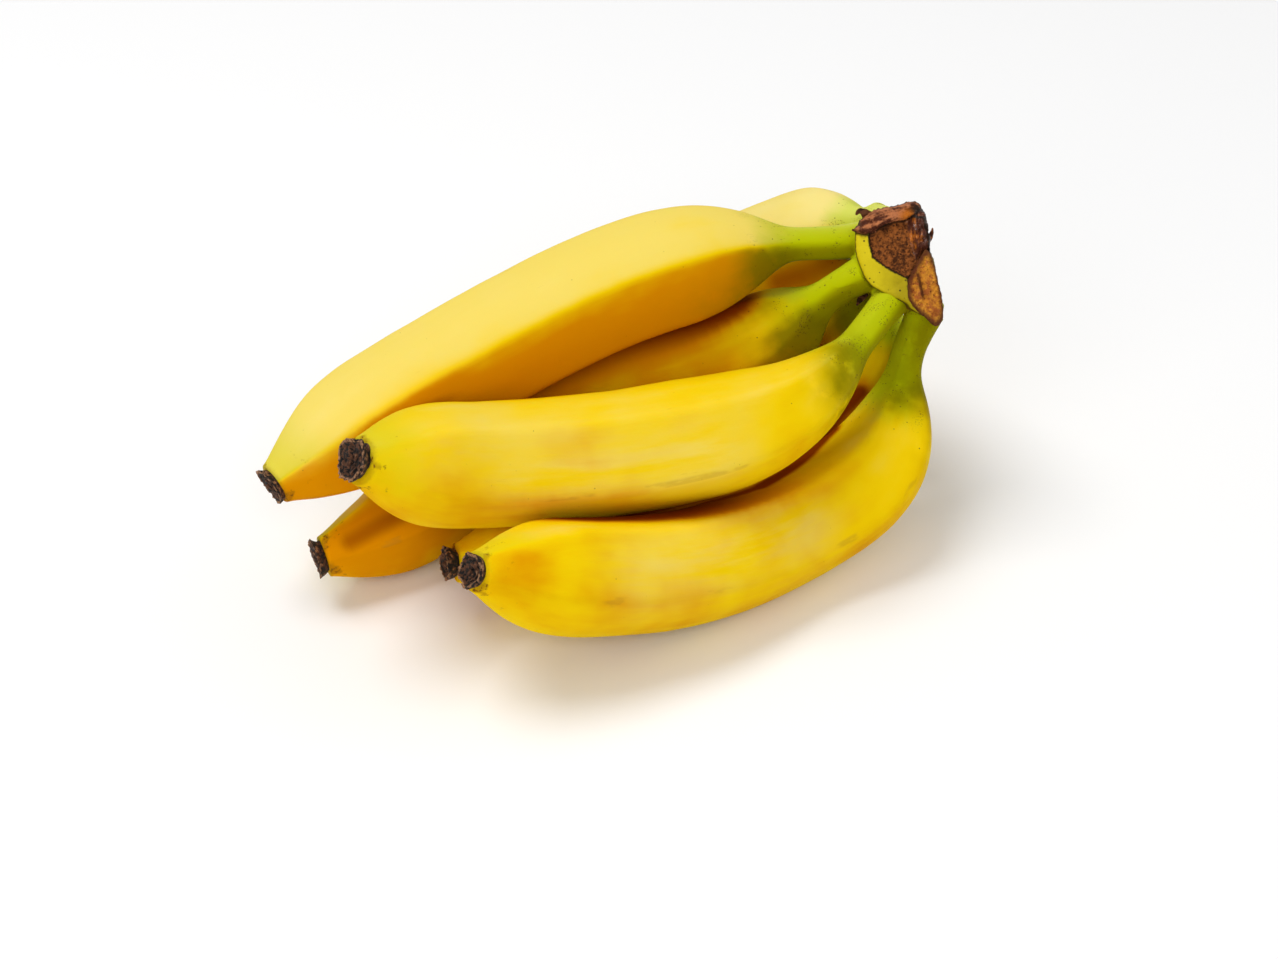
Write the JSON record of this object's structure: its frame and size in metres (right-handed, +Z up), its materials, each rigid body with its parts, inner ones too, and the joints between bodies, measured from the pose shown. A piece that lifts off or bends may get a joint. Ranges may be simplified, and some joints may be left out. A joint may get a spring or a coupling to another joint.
{
  "type": "bunch of bananas",
  "caption": "Bunch of ripe bananas curving out of one cut brown crown, green at the necks, with dry dark tips, lying on the backs of the lower fruits.",
  "frame": {"origin": "under the middle of the bunch's bounding box, on the surface that it lies on", "axes": "+Z up, +X from the tips towards the crown, -Y the side that the tips curve to"},
  "size_m": [0.2182, 0.1781, 0.1056],
  "materials": {
    "peel": "satin waxy banana peel, warm yellow with pale facets, lime green at the neck, a little green near the tip and fine dark freckles, bruised brown here and there",
    "crown": "matte dried cut face, mottled dark to orange brown with dark vein dots, over a band of yellow-green skin",
    "dry_tip": "matte dark brown, wrinkled dry blossom end, ringed and crumbly"
  },
  "bodies": {
    "root": {"banana_top_front": "peel", "banana_top_back": "peel", "banana_inner": "peel", "banana_middle_front": "peel", "banana_bottom_back": "peel", "banana_bottom_front": "peel", "crown": "crown"}
  },
  "joints": []
}
